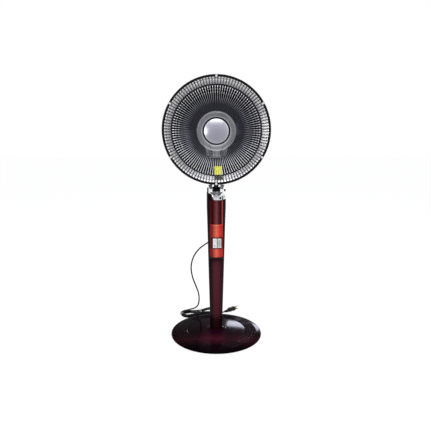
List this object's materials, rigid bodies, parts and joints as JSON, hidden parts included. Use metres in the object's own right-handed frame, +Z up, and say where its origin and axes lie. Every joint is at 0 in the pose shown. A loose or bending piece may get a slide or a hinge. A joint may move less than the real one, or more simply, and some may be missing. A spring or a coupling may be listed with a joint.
{
  "type": "parabolic heater",
  "caption": "Pillar heater with a round weighted base, tapered column with rocker switches, swinging and tilting dish head, wire guard and a keyhole-shaped quartz tube.",
  "frame": {"origin": "on the floor at the centre of the base", "axes": "+Z up, the front of the heater faces -Y, +X to the viewer's right"},
  "size_m": [0.3999, 0.4553, 1.0413],
  "materials": {
    "badge_alu": "satin",
    "base_gloss": "near-black burgundy high gloss",
    "black_gloss": "black gloss",
    "black_matt": "black satin",
    "black_rubber": "soft black",
    "brass_pins": "bright",
    "burgundy_gloss": "deep burgundy high gloss",
    "cast": "rough cast",
    "ceramic_white": "unglazed",
    "chrome": "polished",
    "clip_steel": "bright",
    "cord_black": "black flexible cord",
    "dish_alu": "polished",
    "grey_plastic": "light grey",
    "heater_wire": "dark oxidised",
    "nylon": "natural nylon",
    "pan_paint": "dark grey enamel",
    "plate": "orange-red gloss",
    "quartz": "clear quartz",
    "rim_black": "gloss black",
    "rocker_white": "white gloss",
    "steel": "zinc plated",
    "tie_black": "black band",
    "window": "dark translucent red gloss"
  },
  "bodies": {
    "base": {"base_cover": "base_gloss", "base_weight": "cast", "bottom_plate": "pan_paint", "base_feet": "black_rubber", "bottom_screws": "steel", "tip_switch": "black_matt", "column_pole": "steel", "pole_bolts": "steel", "column_front": "burgundy_gloss", "column_rear": "burgundy_gloss", "column_screws": "steel", "window_panel": "window", "control_plate": "plate", "switch_bezel": "black_gloss", "switch_bodies": "black_matt", "cord_gland": "black_rubber", "cord_free": "cord_black", "cord_hank": "cord_black", "cord_tail": "cord_black", "cord_tie": "tie_black", "mains_plug": "cord_black", "plug_pins": "brass_pins", "motor_bracket": "steel", "swing_motor": "clip_steel", "swing_bush": "nylon"},
    "plunger": {"tip_plunger": "grey_plastic"},
    "heat_switch": {"heat_rocker": "rocker_white"},
    "swing_switch": {"swing_rocker": "rocker_white"},
    "pinion": {"motor_pinion": "nylon"},
    "swivel": {"thrust_washer": "black_matt", "swing_shaft": "steel", "swing_gear": "nylon", "shaft_clip": "steel", "neck": "chrome", "neck_screws": "steel", "tilt_bolt": "rim_black"},
    "knob": {"tilt_knob": "black_matt"},
    "head": {"tilt_arm": "rim_black", "arm_screws": "steel", "rear_housing": "burgundy_gloss", "housing_screws": "steel", "rear_pan": "pan_paint", "terminal_block": "nylon", "thermal_cutout": "clip_steel", "reflector_dish": "dish_alu", "rim_band": "rim_black", "rim_clips": "clip_steel", "guard_rings": "clip_steel", "guard_wires": "clip_steel", "badge": "badge_alu", "badge_clamp": "steel", "badge_screw": "steel", "heating_tube": "quartz", "filament": "heater_wire", "tube_caps": "ceramic_white", "tube_leads": "steel", "tube_stand": "ceramic_white", "holder_plate": "clip_steel", "stand_screws": "steel"}
  },
  "joints": [
    {"name": "head_swing", "type": "hinge", "parent": "base", "child": "swivel", "pos_m": [0, 0, 0.53], "axis": [0, 0, 1], "range_deg": [-40, 40]},
    {"name": "pinion_turn", "type": "hinge", "parent": "base", "child": "pinion", "pos_m": [0, 0.022, 0.5214], "axis": [0, 0, 1], "range_deg": [-125, 125]},
    {"name": "head_tilt", "type": "hinge", "parent": "swivel", "child": "head", "pos_m": [0, 0, 0.606], "axis": [1, 0, 0], "range_deg": [-30, 12]},
    {"name": "knob_turn", "type": "hinge", "parent": "swivel", "child": "knob", "pos_m": [-0.0328, 0, 0.606], "axis": [1, 0, 0], "range_deg": [0, 180]},
    {"name": "heat_rock", "type": "hinge", "parent": "base", "child": "heat_switch", "pos_m": [-0.0053, -0.0306, 0.4], "axis": [1, 0, 0], "range_deg": [0, 12]},
    {"name": "swing_rock", "type": "hinge", "parent": "base", "child": "swing_switch", "pos_m": [0.0123, -0.0306, 0.4], "axis": [1, 0, 0], "range_deg": [0, 12]},
    {"name": "plunger_slide", "type": "slide", "parent": "base", "child": "plunger", "axis": [0, 0, -1], "range_m": [0, 0.006], "stiffness_N_per_m": 60}
  ],
  "couplings": [
    {"joint": "pinion_turn", "follows": "head_swing", "ratio": -3}
  ]
}
